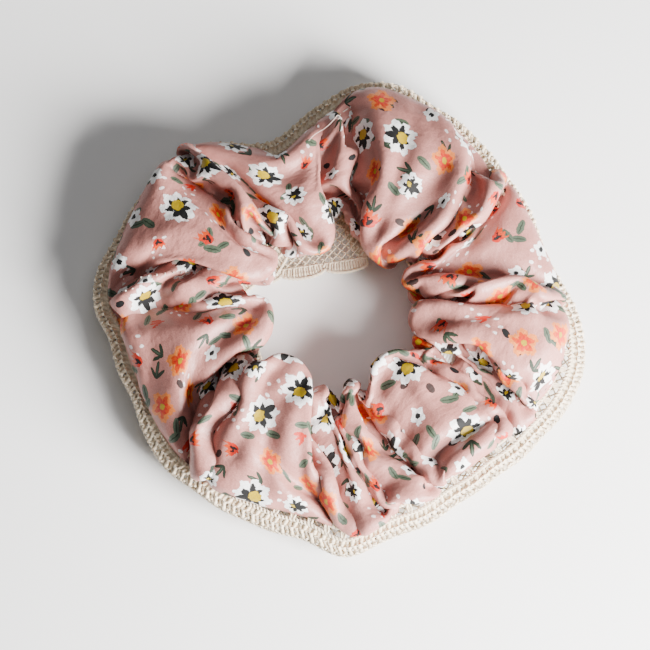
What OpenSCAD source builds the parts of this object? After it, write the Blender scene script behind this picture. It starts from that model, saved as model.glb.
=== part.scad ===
// Scrunchie: a gathered satin tube round an elastic band, with a deep lace
// trim caught in its outer seam and folded under it. It lies flat, with its
// opening upright along Z. The ring is in two halves, left and right of x = 0,
// because it is pulled open along X.

/* [Ring] */
// Outer diameter over the lace edge
overall_d = 115; // [110:1:122]
// Diameter of the opening through the gathered cover
opening_d = 34; // [30:1:36]
// Height of the gathered cover, gathers included
cover_h = 18; // [15:0.5:20]
// Gap between the two halves at x = 0
half_gap = 0.6; // [0.4:0.1:1]

/* [Satin cover] */
// Distance from the lace edge in to the cover's outer seam
lace_margin = 5; // [4.5:0.5:6]
// Number of gathers round the ring
gathers = 12; // [8:2:16]
// Depth of one gather, crest to trough
gather_depth = 3; // [1:0.25:3.5]
// Thickness of the satin
satin_t = 0.4; // [0.3:0.05:0.5]
// Width of the seam allowances turned in at the outer seam
allowance_w = 6; // [4:0.5:7]
// How far the outer seam droops below the middle of the cover
seam_droop = 2.5; // [1.5:0.25:3]

/* [Lace trim] */
// Thickness of the lace
lace_t = 0.8; // [0.6:0.1:0.9]
// Depth of the lace folded under the cover
lace_pile = 2.4; // [2:0.2:3]
// Radius of the lace's free edge under the ring
free_edge_r = 17; // [16:0.5:18]
// How far the free edge's circle sits towards -Y, so that it shows in the opening at +Y
free_edge_shift = 6.5; // [3:0.5:7]
// Width of one scallop on the free edge
scallop_w = 10; // [8:1:12]
// Number of windows in the lace's ladder heading
windows = 72; // [60:2:80]
// Width of one window, across the trim
window_w = 1.8; // [1:0.1:2]
// Length of one window, along the trim
window_l = 3.2; // [2:0.1:3.4]
// Number of pleats in the lace folded under the cover
pleats = 12; // [8:1:16]
// Depth of the step where one pleat lies over the next
pleat_step = 0.6; // [0.3:0.1:1]

/* [Elastic] */
// Diameter of the relaxed elastic loop, at its inner edge
elastic_d = 51; // [46:1:56]
// Width of the elastic
elastic_w = 6; // [5:0.5:8]
// Thickness of the elastic
elastic_t = 1.2; // [0.8:0.1:1.5]
// Length over which the elastic's ends overlap
lap_l = 14; // [10:1:18]

/* [Thread] */
// Length of one stitch
stitch_l = 2.4; // [2:0.2:3]
// Spacing of the stitches
stitch_pitch = 3.6; // [3.4:0.2:5]
// Thickness of the sewing thread
thread_t = 0.3; // [0.2:0.05:0.35]

/* [Hidden] */

$fn = 96;
clear = 0.1;                                  // air between pieces that touch
seam_r = overall_d / 2 - lace_margin;         // radius of the outer seam
cover_a = (seam_r - opening_d / 2) / 2;       // half the cover's radial width
cover_r = opening_d / 2 + cover_a;            // radius of the middle of the cover
cover_b = (cover_h - gather_depth) / 2;       // half its height between the gathers
cover_z = lace_pile + 4 * clear + cover_h / 2; // height of the middle of the cover
seam_z = cover_z - seam_droop;                // height of the outer seam
slit = lace_t + 2 * clear;                    // space between the seam allowances
join_a = 180;                                 // direction of the joins, as an angle
cover_steps = 40;                             // sections along one half
oval_steps = 18;                              // points round one section
oval_end = 7;                                 // angle where the oval meets the allowances
elastic_z = cover_z - 4.4;                    // height of the elastic's lower face
tuck_x = seam_r - 1.2;                        // radius where the allowances turn out to the oval
folded_r = seam_r + 1;                        // outer radius of the folded lace
scallop_r = scallop_w * 0.56;                 // radius of one scallop
scallop_mid = free_edge_r + scallop_w / 2;    // distance of a scallop's centre from the circle's
satin_pink = [0.87, 0.66, 0.63];
lace_cream = [0.90, 0.85, 0.75];
elastic_white = [0.94, 0.93, 0.90];
thread_cream = [0.93, 0.88, 0.80];

// Height of the gathers at ring angle a: steep on one side of each crest, as folds that lean are.
function gather(a) = gather_depth / 2 * (sin(gathers * a) + 0.3 * sin(2 * gathers * a + 40)) / 1.2;

// How strongly the gathers show at angle q round the section: none at the seam.
function gather_share(q) = pow(sin(q / 2), 2);

// The middle line of the cover's section at ring angle a, as [radius, height] points, from
// the end of the upper seam allowance, over the top, round the opening and back underneath.
function section_line(a) = [
    [seam_r - allowance_w, seam_z + slit / 2 + satin_t / 2],
    [tuck_x, seam_z + slit / 2 + satin_t / 2],
    for (i = [0 : oval_steps])
        let (
            q = oval_end + (360 - 2 * oval_end) * i / oval_steps,
            g = gather(a) * gather_share(q),
            edge = max(0, cos(q))
        )
        [
            cover_r + (cover_a - satin_t / 2 + g * 0.6) * cos(q),
            cover_z - seam_droop * edge * edge + (cover_b + g) * sin(q)
        ],
    [tuck_x, seam_z - slit / 2 - satin_t / 2],
    [seam_r - allowance_w, seam_z - slit / 2 - satin_t / 2]
];

// Unit normal of a line at point i, to the left of its direction.
function line_normal(line, i) =
    let (
        d = line[min(i + 1, len(line) - 1)] - line[max(i - 1, 0)]
    )
    [-d[1], d[0]] / norm(d);

// A line as a closed strip of thickness t.
function strip(line, t) = concat(
    [for (i = [0 : len(line) - 1]) line[i] + line_normal(line, i) * t / 2],
    [for (i = [len(line) - 1 : -1 : 0]) line[i] - line_normal(line, i) * t / 2]
);

// A [radius, height] point turned round one half of the ring. share runs from -1 to 1, and the
// two ends lie in planes half a gap away from x = 0.
function on_half(p, middle_a, share) =
    let (a = middle_a + share * (90 - asin(half_gap / 2 / p[0])))
    [p[0] * cos(a), p[0] * sin(a), p[1]];

// One solid through closed strips that all have the same even number of points. The ends are
// closed by pairing each point with the one across the strip.
module swept(rings) {
    n = len(rings[0]);
    last = len(rings) - 1;
    sides = [
        for (k = [0 : last - 1], i = [0 : n - 1])
            let (j = (i + 1) % n)
            each [
                [k * n + i, k * n + j, (k + 1) * n + j],
                [k * n + i, (k + 1) * n + j, (k + 1) * n + i]
            ]
    ];
    ends = [
        for (i = [0 : n / 2 - 2])
            let (j = n - 1 - i, top = last * n)
            each [
                [i + 1, i, j],
                [i + 1, j, j - 1],
                [top + i, top + i + 1, top + j],
                [top + i + 1, top + j - 1, top + j]
            ]
    ];
    polyhedron(points = [for (r = rings) each r], faces = concat(sides, ends), convexity = 8);
}

// Everything on one side of x = 0: side is -1 for the left and 1 for the right.
module half_space(side) {
    size = overall_d;
    translate([side * (half_gap + size) / 2, 0, 0])
        cube([size, 2 * size, 2 * size], center = true);
}

// Half of the gathered tube, centred on ring angle middle_a, with its seam allowances.
module cover_half(middle_a) {
    color(satin_pink)
        swept([
            for (k = [0 : cover_steps])
                let (share = 2 * k / cover_steps - 1)
                [
                    for (p = strip(section_line(middle_a + 90 * share), satin_t))
                        on_half(p, middle_a, share)
                ]
        ]);
}

// The lace from its heading in the seam, out over the edge and down to the table.
module lace_edge() {
    tip = overall_d / 2 - lace_t / 2;
    line = [
        [seam_r - allowance_w, seam_z],
        [seam_r + 0.4, seam_z],
        [seam_r + lace_margin * 0.55, seam_z - 0.5],
        [tip - 0.5, seam_z - 1.9],
        [tip, seam_z - 4],
        [tip - 0.5, seam_z - 6],
        [tip - 1.5, lace_pile],
        [seam_r, lace_pile / 2]
    ];
    rotate_extrude() polygon(strip(line, lace_t));
}

// The lace folded under the cover, with its scalloped free edge.
module lace_folded() {
    count = round(2 * PI * free_edge_r / scallop_w);
    linear_extrude(lace_pile) {
        difference() {
            circle(folded_r);
            translate([0, -free_edge_shift]) circle(free_edge_r + scallop_w / 4);
        }
        translate([0, -free_edge_shift])
            for (i = [0 : count - 1])
                rotate((i + 0.5) * 360 / count)
                    translate([scallop_mid, 0]) circle(scallop_r);
    }
}

// The steps between the pleats of the folded lace, as shallow cuts in its underside.
module pleat_steps() {
    long = folded_r;
    wide = 0.5;
    for (i = [0 : pleats - 1])
        rotate((i + 0.5) * 360 / pleats)
            translate([long / 2 + free_edge_shift / 2, 0, 0])
                cube([long, wide, 2 * pleat_step], center = true);
}

// The row of windows in the ladder heading.
module heading_windows() {
    for (i = [0 : windows - 1])
        rotate((i + 0.5) * 360 / windows)
            translate([seam_r + lace_margin * 0.4, 0, seam_z])
                cube([window_w, window_l, 3 * lace_t], center = true);
}

module lace_half(side) {
    color(lace_cream)
        intersection() {
            difference() {
                union() {
                    lace_edge();
                    lace_folded();
                }
                heading_windows();
                pleat_steps();
            }
            half_space(side);
        }
}

// The elastic loop, which lies flat inside the cover, with its two ends lapped at the join.
module elastic_band() {
    inner = elastic_d / 2;
    lap_a = lap_l / (inner + elastic_w / 2) * 180 / PI;
    edge = 0.3;    // the upper end, pulled tight, is this much narrower on each side
    color(elastic_white)
        translate([0, 0, elastic_z]) {
            rotate_extrude() translate([inner, 0]) square([elastic_w, elastic_t]);
            rotate(join_a - lap_a / 2)
                rotate_extrude(angle = lap_a)
                    translate([inner + edge, elastic_t / 2])
                        square([elastic_w - 2 * edge, elastic_t * 1.5]);
        }
}

// Two zigzag rows that sew the lapped ends of the elastic together.
module elastic_stitches() {
    row_r = (elastic_d + elastic_w) / 2;
    row_a = 0.3 * lap_l / row_r * 180 / PI;
    top = elastic_z + 2 * elastic_t + clear;
    zig = (elastic_w - 1) / 4;
    lean_a = 40;
    color(thread_cream)
        for (row = [-1, 1], i = [0 : 3])
            rotate(join_a + row * row_a)
                translate([row_r + (i - 1.5) * zig, 0, top + thread_t / 2])
                    rotate(i % 2 == 0 ? lean_a : -lean_a)
                        cube([zig * 1.4, thread_t, thread_t], center = true);
}

// Half of the row of stitches that holds the allowances and the lace together, above and below.
module seam_stitches(middle_a) {
    stitch_r = seam_r - allowance_w / 2;
    off = slit / 2 + satin_t + thread_t / 2 + clear;
    step = stitch_pitch / stitch_r * 180 / PI;
    count = floor(180 / step - 1);
    color(thread_cream)
        for (i = [0 : count - 1], level = [-off, off])
            rotate(middle_a + (i - (count - 1) / 2) * step)
                translate([stitch_r, 0, seam_z + level])
                    cube([thread_t, stitch_l, thread_t], center = true);
}

// The topstitches round the tube where its one end is tucked into the other.
module closing_stitches() {
    line = section_line(join_a);
    lift = satin_t / 2 + thread_t / 2 + clear;
    color(thread_cream)
        for (i = [3 : oval_steps - 1])
            let (
                p = (line[i] + line[i + 1]) / 2,
                d = line[i + 1] - line[i],
                out = [d[1], -d[0]] / norm(d)
            )
            rotate(join_a)
                translate([p[0] + out[0] * lift, 0, p[1] + out[1] * lift])
                    rotate([0, -atan2(d[1], d[0]), 0])
                        cube([norm(d) * 0.6, thread_t, thread_t], center = true);
}

// The row of stitches across the lace where its ends lap.
module lace_join_stitches() {
    first = free_edge_r + scallop_w;
    last = seam_r - allowance_w;
    color(thread_cream)
        for (r = [first : stitch_pitch : last])
            rotate(join_a)
                translate([r, 0, lace_pile + thread_t / 2])
                    cube([stitch_l, thread_t, thread_t], center = true);
}

cover_half(180);  // cover_left
cover_half(0);  // cover_right
lace_half(-1);  // lace_left
lace_half(1);  // lace_right
elastic_band();
elastic_stitches();
seam_stitches(180);  // seam_stitches_left
seam_stitches(0);  // seam_stitches_right
closing_stitches();
lace_join_stitches();
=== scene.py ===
import math

import bpy
import numpy as np
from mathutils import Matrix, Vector


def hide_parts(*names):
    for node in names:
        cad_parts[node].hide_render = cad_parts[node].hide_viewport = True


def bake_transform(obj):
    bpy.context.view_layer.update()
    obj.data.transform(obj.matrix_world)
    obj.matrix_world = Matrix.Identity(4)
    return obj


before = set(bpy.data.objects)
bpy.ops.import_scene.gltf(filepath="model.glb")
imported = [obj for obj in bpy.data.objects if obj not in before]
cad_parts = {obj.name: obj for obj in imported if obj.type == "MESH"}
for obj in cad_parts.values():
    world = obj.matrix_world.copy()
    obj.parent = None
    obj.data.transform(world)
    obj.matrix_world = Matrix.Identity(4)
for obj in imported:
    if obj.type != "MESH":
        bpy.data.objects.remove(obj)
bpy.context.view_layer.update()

MM = 0.001
TAU = 2 * math.pi
TINY = 1e-9                    # keeps a division by a length from failing where the length is nought

# ---------------- outlines, seen from above
# (angle in degrees, radius in mm) of the satin's outer seam and of the lace's outer edge
SATIN_EDGE = [(-176, 51.5), (-158, 49.5), (-142, 50.5), (-130, 51), (-112, 49), (-97, 49), (-85, 53),
              (-74, 48), (-60, 47), (-45, 48), (-28, 50.5), (-16, 53.5), (-3, 54), (6, 50), (20, 47.5),
              (30, 48), (42, 49.5), (60, 53), (78, 56), (91, 55.6), (98, 48), (108, 43.5), (118, 48.8),
              (126, 52.4), (136, 53.4), (155, 53.4), (170, 55), (179, 54.5)]
LACE_EDGE = [(-176, 54.8), (-158, 52.2), (-142, 54), (-124, 53.8), (-112, 53), (-97, 53.6), (-88, 57.6),
             (-80, 54.6), (-60, 52.2), (-45, 52.8), (-29, 56.4), (-16, 58.4), (-6, 58), (4, 54.4),
             (15, 51.2), (29, 51), (43, 52.4), (62, 55.6), (78, 57.6), (88, 55.6), (95, 51.4),
             (102, 47.6), (107, 45.6), (113, 44.8), (120, 47.8), (128, 52.6), (136, 55), (155, 55.2),
             (164, 56.6), (173, 58), (179, 57.6)]
SATIN_SPREAD, LACE_SPREAD = 1.6, 2.2       # degrees over which an outline's corners are eased
PER_DEGREE = 4                             # samples of an outline in each degree


def edge_function(keys, spread):
    """Radius as a function of the angle in degrees: the keys joined up, with the corners eased."""
    ang = np.arange(360 * PER_DEGREE) / PER_DEGREE - 180
    r = np.interp(ang, [k[0] for k in keys], [k[1] for k in keys], period=360)
    steps = np.arange(-15 * PER_DEGREE, 15 * PER_DEGREE + 1)
    weight = np.exp(-0.5 * (steps / PER_DEGREE / spread) ** 2)
    weight /= weight.sum()
    r = sum(w * np.roll(r, int(step)) for step, w in zip(steps, weight))
    return lambda deg: np.interp(np.asarray(deg, float), ang, r, period=360)


satin_r = edge_function(SATIN_EDGE, SATIN_SPREAD)
lace_r = edge_function(LACE_EDGE, LACE_SPREAD)


def ease(x, lo, hi):
    """0 below lo, 1 above hi, and a smooth rise between them."""
    x = np.clip((np.asarray(x, float) - lo) / (hi - lo), 0, 1)
    return x * x * (3 - 2 * x)


def towards(a, b, share):
    return a + (b - a) * share


def polar(r, deg):
    return np.stack([r * np.cos(np.radians(deg)), r * np.sin(np.radians(deg))], -1)


def outwards(points):
    """Unit vectors in the plan, away from the ring's middle."""
    return polar(1, np.degrees(np.arctan2(points[:, 1], points[:, 0])))


# ---------------- the satin cover
# One strip of satin, folded lengthwise into a tube, in mm. It lies in eleven panels between folds.
# Each row: fold's angle at the outer seam and at the opening, then, for the panel that follows it
# clockwise, crest height, radius and angle of its tip at the opening, and whether it lies over (1) or
# under (-1) the panel before.
STRIP_L, STRIP_W, ALLOWANCE = 450.0, 90.0, 6.0
PANELS = [(179, 158, 20, 19.2, 146, 1), (134, 134, 17, 16, 119, -1), (93, 92, 21, 14.2, 52, 1),
          (42, 33, 16.5, 17.5, 18, -1), (3, 5, 20, 17, -3, 1), (-27, -9, 13, 18, -16, -1),
          (-37, -24, 17, 14.4, -50, 1), (-60, -72, 13.5, 15.5, -83, -1), (-74, -91, 17.5, 17, -101, 1),
          (-85, -111, 20.5, 18, -130, -1), (-130, -150, 18, 18, -176, -1)]
COUNT = len(PANELS)
FIRST_AGAIN = (-181.0, -202.0)             # the first fold's angles, one turn later
OUT_A = np.array([p[0] for p in PANELS] + [FIRST_AGAIN[0]])
IN_A = np.array([p[1] for p in PANELS] + [FIRST_AGAIN[1]])
CREST, TIP_R, TIP_A, OVER = ([p[column] for p in PANELS] for column in (2, 3, 4, 5))
NA, NV = 232, 46               # columns round the ring, rows round the tube
INNER_ROW = NV // 2            # the row that lies along the elastic; row 0 is the seam
COLUMN_A = np.arange(NA) * STRIP_L / NA    # each column's place along the strip
SEAM_Z, INNER_Z = 9.5, 11.5    # heights of the seam and of the row along the elastic
VALLEY_R, VALLEY_Z = 25.0, 10.0            # the bottom of each fold, at the opening
FLOOR_Z = 3.7                  # top of the folded lace
STACK = 0.9                    # how far a layer lies over the next one where they cross in the seam
LEAN = 0.3                     # how far a panel's inner row leans over its neighbour
SEAM_INSET = 2.6               # how far the seam is drawn in at a fold, mm
INSET_REACH = 5                # and how far along the strip
FOLD_REACH = 2.4               # columns this near a fold are guided as its bottom
PANEL_HOLD, FOLD_HOLD = 0.2, 0.4           # how firmly the guide holds
# the simulation
SIM = 0.02                     # its units for one mm: cloth behaves better at this scale
FRAMES, SETTLE = 40, 20        # frames of drawing in, and of coming to rest
START_R = STRIP_L / TAU        # the band that it starts from: its radius, the angle of each column,
START_A = OUT_A[0] - COLUMN_A / STRIP_L * 360
BAND_Z = 9.0                   # the height of its lower edge
BAND_BULGE, BAND_WAVE = 1.5, 3.0           # the band's half thickness, and its waves' depth
BAND_INNER_R = 20.5            # mean radius that the inner row is drawn in to
BENDING, PRESSURE = 8.0, 1.3
FLOOR_HALF = 4.0               # half side of the floor under the cloth, in simulation units
# what is done to the cloth after it
NOTCH_DEPTH = 6.4
CREASES, CREASE_SEED = 3, 21   # creases in each panel
CLOTH_T = 0.35


def wrapped(d):
    """A distance along the strip, taken the shorter way round the ring."""
    return np.mod(d + STRIP_L / 2, STRIP_L) - STRIP_L / 2


def fold_layout():
    """Length of each panel's outer arc, fabric length in each fold, and the place of each fold."""
    arcs = []
    for i in range(COUNT):
        t = np.linspace(OUT_A[i], OUT_A[i + 1], 60)
        r = satin_r(t)
        x, y = r * np.cos(np.radians(t)), r * np.sin(np.radians(t))
        arcs.append(np.hypot(np.diff(x), np.diff(y)).sum())
    arcs = np.array(arcs)
    share = np.sqrt(arcs)
    half = (STRIP_L - arcs.sum()) * 0.25 * (share + np.roll(share, 1)) / share.sum()
    widths = arcs + half + np.roll(half, -1)
    return arcs, half, np.concatenate([[0], np.cumsum(widths)])


ARCS, HALF, FOLD_AT = fold_layout()
TO_FOLD = np.abs(wrapped(COLUMN_A[:, None] - FOLD_AT)).min(axis=1)


def seam_path(a):
    """Angle and height offset of the outer seam at fabric coordinate a: three layers at each fold."""
    th, z = np.zeros_like(a), np.zeros_like(a)
    for i in range(COUNT):
        lo, hi = FOLD_AT[i], FOLD_AT[i + 1]
        before, after = HALF[i] / 2, HALF[(i + 1) % COUNT] / 2
        sel = (a >= lo) & (a < hi)
        u = a[sel] - lo
        fwd = hi - lo - before - after
        past = u - before - fwd
        s = np.where(u < before, -u, np.where(u < before + fwd, u - 2 * before, ARCS[i] + after - past))
        th[sel] = OUT_A[i] + s * (OUT_A[i + 1] - OUT_A[i]) / ARCS[i]
        start, end = STACK * OVER[i], -STACK * OVER[(i + 1) % COUNT]
        level = towards(start, end, ease((u - before) / fwd, 0, 1))
        level = np.where(u < before, start * u / before, level)
        z[sel] = np.where(u > before + fwd, end * (hi - lo - u) / after, level)
    return th, z


def guide(a):
    """Where the top of each panel and the bottom of each fold should come to lie, and how firmly."""
    rows = INNER_ROW + 1
    place, hold = np.zeros((NA, rows, 3)), np.zeros((NA, rows))
    th, lift = seam_path(a)
    q = np.linspace(0, 1, rows)
    psi = np.pi * q
    clear_of_ends = np.clip(np.minimum(q - 0.06, 0.94 - q) / 0.08, 0, 1)

    def round_tube(outer, inner):
        return (outer + inner) / 2 + (outer - inner) / 2 * np.cos(psi)

    for k in range(NA):
        i = int(np.searchsorted(FOLD_AT, a[k], side="right") - 1)
        lo, hi = FOLD_AT[i], FOLD_AT[i + 1]
        d = a[k] - (lo + hi) / 2
        mid_out = (OUT_A[i] + OUT_A[i + 1]) / 2
        mid = towards(mid_out, TIP_A[i], q ** 1.1)
        r = round_tube(float(satin_r(mid_out)), TIP_R[i])
        span = (OUT_A[i] - OUT_A[i + 1]) * (1 - q) + (IN_A[i] - IN_A[i + 1]) * q
        half = np.radians(span) * r / 2 + 1.5
        # the panel's top is an arc across it, flat at the seam and full towards the opening
        bend = half * (2.2 - 1.17 * ease(q, 0.1, 0.8))
        reach = bend * np.arcsin(np.minimum(1, half / bend))
        turn = np.clip(d / bend, -np.pi / 2, np.pi / 2)
        rad, tan = polar(1, mid), polar(1, mid - 90)
        across = rad * r[:, None] + tan * (bend * np.sin(turn))[:, None]
        follow = polar(round_tube(float(satin_r(th[k])), TIP_R[i]), th[k] + mid - mid_out)
        b = ease(q, 0.08, 0.4)
        base = SEAM_Z + lift[k] * (1 - q) + 2 * q
        place[k, :, :2] = follow * (1 - b[:, None]) + across * b[:, None]
        place[k, :, 2] = (base + (CREST[i] - base) * np.sin(psi) ** 0.7
                          - bend * (1 - np.cos(turn)) * np.sin(psi) ** 0.5 * b)
        hold[k] = PANEL_HOLD * np.clip((reach - abs(d)) / (0.25 * reach), 0, 1) * clear_of_ends
        for fold, dist in ((i, a[k] - lo), (i + 1, a[k] - hi)):
            if abs(dist) < FOLD_REACH:
                ang = towards(OUT_A[fold], IN_A[fold], q ** 1.1)
                r = round_tube(float(satin_r(OUT_A[fold])), VALLEY_R)
                place[k, :, :2] = polar(r, ang) - polar(0.6 * dist, ang - 90)
                place[k, :, 2] = SEAM_Z + (VALLEY_Z - SEAM_Z) * ease(q, 0.05, 0.5) + ease(q, 0.7, 1)
                hold[k] = FOLD_HOLD * clear_of_ends
    return place, hold


def inner_path(a):
    """Angle and radius of the row along the elastic: tips towards the opening, folds away from it."""
    ang, r = np.zeros_like(a), np.zeros_like(a)
    for i in range(COUNT):
        lo, hi = FOLD_AT[i], FOLD_AT[i + 1]
        sel = (a >= lo) & (a < hi)
        u = (a[sel] - lo) / (hi - lo)
        lean = -LEAN * (OVER[(i + 1) % COUNT] + OVER[i]) / 2
        skew = (TIP_A[i] - (IN_A[i] + IN_A[i + 1]) / 2) * np.sin(np.pi * u)
        ang[sel] = towards(IN_A[i], IN_A[i + 1], u - lean * np.sin(TAU * u) / TAU) + skew
        r[sel] = towards(TIP_R[i], VALLEY_R, (0.5 + 0.5 * np.cos(TAU * u)) ** 1.3)
    return ang, r


def start_bands():
    """The tube before gathering, a tall band 450 mm round: once with shallow waves, so that the folds
    form where they should, and once as flat cloth."""
    v = np.arange(NV) / NV
    down = np.minimum(v, 1 - v) * 2
    side = np.sign(0.5 - v) * (v > 0) * (v != 0.5)
    wave = np.zeros(NA)
    for i in range(COUNT):
        sel = (COLUMN_A >= FOLD_AT[i]) & (COLUMN_A < FOLD_AT[i + 1])
        wave[sel] = -np.cos(TAU * (COLUMN_A[sel] - FOLD_AT[i]) / (FOLD_AT[i + 1] - FOLD_AT[i]))
    bulge = side * np.sin(np.pi * down / 2)

    def band(height):
        r = START_R + bulge * BAND_BULGE + bulge * height * wave[:, None]
        flat = polar(r, np.broadcast_to(START_A[:, None], r.shape))
        return np.dstack([flat, np.broadcast_to(BAND_Z + down * STRIP_W / 2, r.shape)])

    return band(BAND_WAVE), band(0.0)


def drawing_in(start, place, hold):
    """A function of t from 0 to 1: the places of the held points as the band is gathered."""
    th, lift = seam_path(COLUMN_A)
    edge = satin_r(th) - SEAM_INSET * np.clip(1 - TO_FOLD / INSET_REACH, 0, 1)
    in_a, in_r = inner_path(COLUMN_A)
    held = hold > 0

    def drawn_in(t):
        to = start.copy()
        half = to[:, :INNER_ROW + 1]
        half[held] += (place[held] - half[held]) * t
        to[:, 0, :2] = polar(towards(START_R, edge, t), towards(START_A, th, t))
        to[:, 0, 2] = BAND_Z + (SEAM_Z - BAND_Z + lift) * t
        early = min(1.0, 2.2 * t) * (1 + 0.5 * math.sin(math.pi * t))
        r = towards(START_R, BAND_INNER_R, t) + (in_r - BAND_INNER_R) * early
        to[:, INNER_ROW, :2] = polar(r, towards(START_A, in_a, t))
        to[:, INNER_ROW, 2] = (BAND_Z + STRIP_W / 2) + (INNER_Z - BAND_Z - STRIP_W / 2) * t
        return to

    return drawn_in


def grid_quads(rows, columns, wrap_rows=True, wrap_columns=True):
    """Indices i, j of each quad's first corner, those of its last, and the quads, on a grid of points."""
    i, j = np.meshgrid(np.arange(rows if wrap_rows else rows - 1),
                       np.arange(columns if wrap_columns else columns - 1), indexing="ij")
    i2, j2 = (i + 1) % rows, (j + 1) % columns
    corners = [i * columns + j, i2 * columns + j, i2 * columns + j2, i * columns + j2]
    return i, j, i2, j2, np.stack(corners, -1).reshape(-1, 4)


def corner_uvs(u, v, order=((0, 0), (1, 0), (1, 1), (0, 1))):
    """Uvs for each face corner, from the two values of u and of v on each face."""
    pairs = [np.broadcast_arrays(u[a], v[b]) for a, b in order]
    return np.stack([np.stack(pair, -1) for pair in pairs], -2).reshape(-1, 2)


def plain_object(name, points, faces):
    mesh = bpy.data.meshes.new(name)
    mesh.from_pydata(points, [], faces)
    piece = bpy.data.objects.new(name, mesh)
    bpy.context.scene.collection.objects.link(piece)
    return piece


def square(half, z):
    return [(-half, -half, z), (half, -half, z), (half, half, z), (-half, half, z)]


def add_shape(piece, name, points):
    key = piece.shape_key_add(name=name)
    key.data.foreach_set("co", (points.reshape(-1, 3) * SIM).ravel())
    return key


def cloth_on(piece, rest_key):
    """Blender's Cloth with the settings of a light satin that is slightly blown up."""
    cloth = piece.modifiers.new("cloth", "CLOTH")
    s = cloth.settings
    s.quality, s.mass = 6, 0.1
    s.tension_stiffness = s.compression_stiffness = 15
    s.shear_stiffness = 3.75
    s.bending_stiffness = BENDING
    s.tension_damping = s.compression_damping = s.shear_damping = 5
    s.bending_damping = 0.5
    s.air_damping = 2
    s.vertex_group_mass = "held"
    s.pin_stiffness = 10
    s.rest_shape_key = rest_key
    s.use_pressure, s.uniform_pressure_force = True, PRESSURE
    c = cloth.collision_settings
    c.use_collision = c.use_self_collision = True
    c.distance_min, c.self_distance_min = 0.01, 0.012
    c.self_friction, c.collision_quality = 0.5, 3
    return cloth


def gather_cover():
    """Blender's Cloth gathers the tube: it starts as a tall band 450 mm round, and its seam and inner
    row are drawn in to their places while the panels are guided softly. Returns columns x rows x 3."""
    start, rest = start_bands()
    place, hold = guide(COLUMN_A)
    drawn_in = drawing_in(start, place, hold)
    quads = grid_quads(NA, NV)[-1]
    piece = plain_object("gather", (start.reshape(-1, 3) * SIM).tolist(), quads.tolist())
    piece.shape_key_add(name="start")
    rest_key = add_shape(piece, "flat", rest)
    for t in (0.25, 0.5, 0.75, 1.0):
        key = add_shape(piece, f"drawn_{t}", drawn_in(t))
        for when, value in ((t - 0.25, 0), (t, 1), (t + 0.25, 0)):
            if when <= 1:
                key.value = value
                key.keyframe_insert("value", frame=1 + (FRAMES - 1) * when)
    for curve in piece.data.shape_keys.animation_data.action.fcurves:
        for point in curve.keyframe_points:
            point.interpolation = "LINEAR"
    group = piece.vertex_groups.new(name="held")
    group.add([k * NV for k in range(NA)], 1.0, "REPLACE")
    group.add([k * NV + INNER_ROW for k in range(NA)], 1.0, "REPLACE")
    for k, row in zip(*np.nonzero(hold[:, 1:INNER_ROW] > 0.001)):
        group.add([int(k) * NV + int(row) + 1], float(hold[k, row + 1]), "REPLACE")
    cloth = cloth_on(piece, rest_key)
    floor = plain_object("gather_floor", square(FLOOR_HALF, FLOOR_Z * SIM), [(0, 1, 2, 3)])
    floor.modifiers.new("collision", "COLLISION")
    scene = bpy.context.scene
    scene.frame_start, scene.frame_end = 1, FRAMES + SETTLE
    cloth.point_cache.frame_end = FRAMES + SETTLE
    scene.gravity = (0, 0, -9.81)
    for f in range(1, FRAMES + SETTLE + 1):
        scene.frame_set(f)
    done = piece.evaluated_get(bpy.context.evaluated_depsgraph_get())
    co = np.zeros(NA * NV * 3)
    done.data.vertices.foreach_get("co", co)
    scene.frame_set(1)
    for gone in (piece, floor):
        data = gone.data
        bpy.data.objects.remove(gone)
        bpy.data.meshes.remove(data)
    return co.reshape(NA, NV, 3) / SIM


def press_notch(co):
    """The dent at the upper left, where the ring is squeezed: the outer half of the tube is pushed in."""
    r = np.hypot(co[..., 0], co[..., 1])
    deg = np.degrees(np.arctan2(co[..., 1], co[..., 0]))
    depth = NOTCH_DEPTH * ease(deg, 80, 97) * (1 - ease(deg, 109, 135)) * ease(r, 26, 44)
    pressed = co.copy()
    pressed[..., :2] *= (1 - depth / r)[..., None]
    return pressed


def calmed(co):
    """The cover without the fine ribs that guiding leaves along the open part of each panel."""
    q = np.arange(NV) / INNER_ROW
    on_top = ease(q, 0.05, 0.2) * (1 - ease(q, 0.45, 0.8))
    open_part = ease(TO_FOLD, 4, 9)[:, None] * on_top
    co = co.copy()
    for _ in range(6):
        mean = (np.roll(co, 1, axis=0) + np.roll(co, -1, axis=0)) / 2
        co += 0.5 * open_part[..., None] * (mean - co)
    return co


def surface_normals(co):
    """Outward normals of the tube."""
    along = np.roll(co, -1, axis=0) - np.roll(co, 1, axis=0)
    across = np.roll(co, -1, axis=1) - np.roll(co, 1, axis=1)
    n = np.cross(across, along)
    n /= np.linalg.norm(n, axis=2, keepdims=True) + TINY
    inside = co.mean(axis=1, keepdims=True)
    return n * np.sign((n * (co - inside)).sum(axis=2).mean())


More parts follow.
